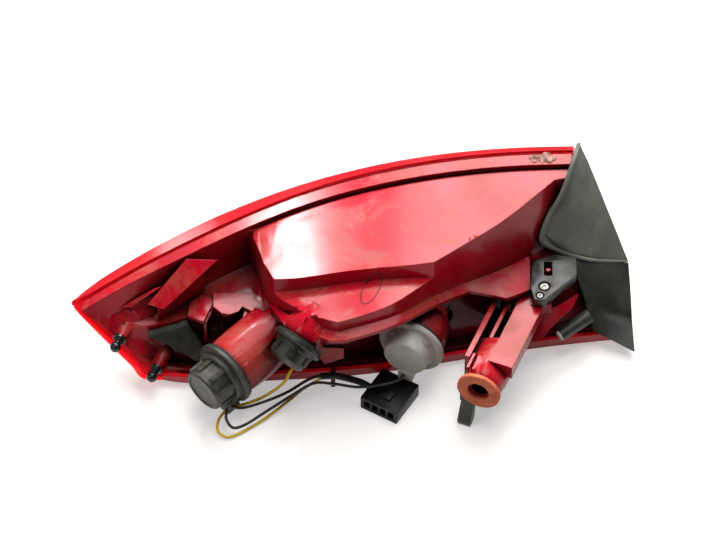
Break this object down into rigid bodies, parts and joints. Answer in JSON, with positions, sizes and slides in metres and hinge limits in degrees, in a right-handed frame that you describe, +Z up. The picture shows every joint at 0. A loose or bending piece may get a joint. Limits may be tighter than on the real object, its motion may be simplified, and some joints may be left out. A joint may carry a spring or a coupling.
{
  "type": "tail light cluster",
  "caption": "Corner tail light cluster: red housing and wrap-round lens, bulb holders, stud boss, ball pins, corner trim and wiring.",
  "frame": {"origin": "centre of the mouth of the stud bore, on the outer face of the boss washer", "axes": "-Y along the stud bore, out of its mouth; +Z up from the surface that the side lens lies on; +X towards the trim end"},
  "size_m": [0.3513, 0.2505, 0.1098],
  "materials": {
    "lens_red": "polished translucent red acrylic",
    "housing_red": "moulded red ABS, dusty",
    "seal_black": "sealing compound",
    "reflector_bright": "metallised plastic",
    "bulb_glass": "clear glass",
    "holder_dark": "moulded charcoal nylon, dusty",
    "holder_black": "moulded black nylon, dusty",
    "holder_grey": "moulded grey nylon",
    "gasket_black": "soft rubber",
    "pin_black": "moulded black nylon",
    "washer_orange": "fibre washer",
    "clip_black": "moulded black nylon",
    "foam_dark": "closed cell foam",
    "trim_grey": "grained grey polypropylene, dusty",
    "trim_black": "grained black polypropylene",
    "bracket_dark": "moulded black nylon",
    "screw_steel": "zinc plated steel",
    "post_dark": "moulded black nylon",
    "ring_white": "white nylon",
    "connector_black": "moulded black nylon",
    "sleeve_black": "braided tape sleeve",
    "wire_yellow": "PVC insulation",
    "wire_black": "PVC insulation",
    "wire_brown": "PVC insulation"
  },
  "bodies": {
    "root": {"outer_lens": "lens_red", "housing": "housing_red", "rim_seal": "seal_black", "reflector": "reflector_bright", "bulb_stop": "bulb_glass", "bulb_indicator": "bulb_glass", "bulb_reverse": "bulb_glass", "holder_left": "holder_dark", "holder_mid": "holder_black", "holder_right": "holder_grey", "gasket_left": "gasket_black", "gasket_mid": "gasket_black", "gasket_right": "gasket_black", "ball_pin_upper": "pin_black", "ball_pin_lower": "pin_black", "boss_washer": "washer_orange", "boss_clip": "clip_black", "foam_pad": "foam_dark", "trim_gusset": "trim_grey", "trim_corner": "trim_black", "trim_bracket": "bracket_dark", "bracket_screws": "screw_steel", "trim_post": "post_dark", "post_ring": "ring_white", "connector": "connector_black", "harness_sleeve": "sleeve_black", "wire_yellow_short": "wire_yellow", "wire_yellow_long": "wire_yellow", "wire_black": "wire_black", "wire_brown": "wire_brown"}
  },
  "joints": []
}
